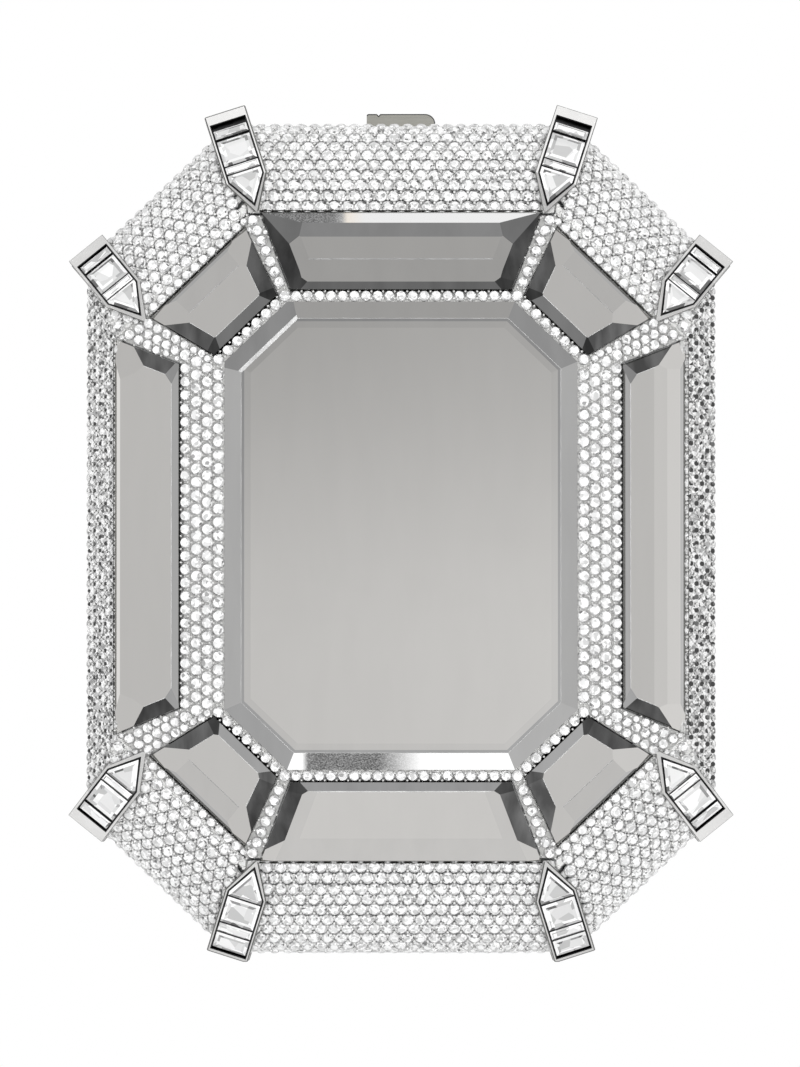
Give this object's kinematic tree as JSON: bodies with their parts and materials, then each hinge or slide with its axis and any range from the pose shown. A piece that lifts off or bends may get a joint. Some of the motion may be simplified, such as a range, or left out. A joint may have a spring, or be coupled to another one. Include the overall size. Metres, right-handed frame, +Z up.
{
  "type": "minaudiere",
  "caption": "Hard-shell evening bag shaped like an emerald-cut stone, with bevelled mirrors, pave stone bands, channel claws, a hinged front half and a press clasp",
  "frame": {"origin": "bottom centre of the bounding box, on the surface the bag stands on", "axes": "+Z up to the clasp end, -Y out of the front, +X to the right seen from the front"},
  "size_m": [0.133, 0.0514, 0.1715],
  "materials": {
    "mirror_glass": "polished, bevelled",
    "polished_silver": "polished",
    "pave_stones": "faceted round stones in a silver setting",
    "baguette_crystal": "step-cut, clear",
    "shell_metal": "plain",
    "lining": "soft, matt",
    "tab_metal": "satin",
    "steel": "satin"
  },
  "bodies": {
    "back": {"back_shell": "shell_metal", "back_rim": "polished_silver", "back_lining": "lining", "back_plate": "polished_silver", "back_pave": "pave_stones", "back_claws": "polished_silver", "back_baguettes": "baguette_crystal", "back_hinge_leaf": "steel", "back_hinge_rivets": "steel", "hinge_pin": "steel", "clasp_housing": "steel", "clasp_screws": "steel", "clasp_springs": "steel"},
    "lid": {"front_shell": "shell_metal", "front_rim": "polished_silver", "front_lining": "lining", "rib_setting": "pave_stones", "centre_mirror": "mirror_glass", "top_mirror": "mirror_glass", "bottom_mirror": "mirror_glass", "left_mirror": "mirror_glass", "right_mirror": "mirror_glass", "upper_left_mirror": "mirror_glass", "upper_right_mirror": "mirror_glass", "lower_left_mirror": "mirror_glass", "lower_right_mirror": "mirror_glass", "top_pave": "pave_stones", "bottom_pave": "pave_stones", "left_pave": "pave_stones", "right_pave": "pave_stones", "upper_left_pave": "pave_stones", "upper_right_pave": "pave_stones", "lower_left_pave": "pave_stones", "lower_right_pave": "pave_stones", "top_left_claw": "polished_silver", "top_right_claw": "polished_silver", "bottom_left_claw": "polished_silver", "bottom_right_claw": "polished_silver", "left_upper_claw": "polished_silver", "left_lower_claw": "polished_silver", "right_upper_claw": "polished_silver", "right_lower_claw": "polished_silver", "claw_baguettes": "baguette_crystal", "front_hinge_leaf": "steel", "front_hinge_rivets": "steel", "clasp_keeper": "steel"},
    "clasp": {"clasp_tab": "tab_metal"}
  },
  "joints": [
    {"name": "lid_hinge", "type": "hinge", "parent": "back", "child": "lid", "pos_m": [0, 0.00405, 0.0036], "axis": [1, 0, 0], "range_deg": [0, 100]},
    {"name": "clasp_press", "type": "slide", "parent": "back", "child": "clasp", "axis": [0, 0, -1], "range_m": [0, 0.0012], "stiffness_N_per_m": 800, "springref_m": -0.001, "deforming": ["clasp_springs"]}
  ]
}
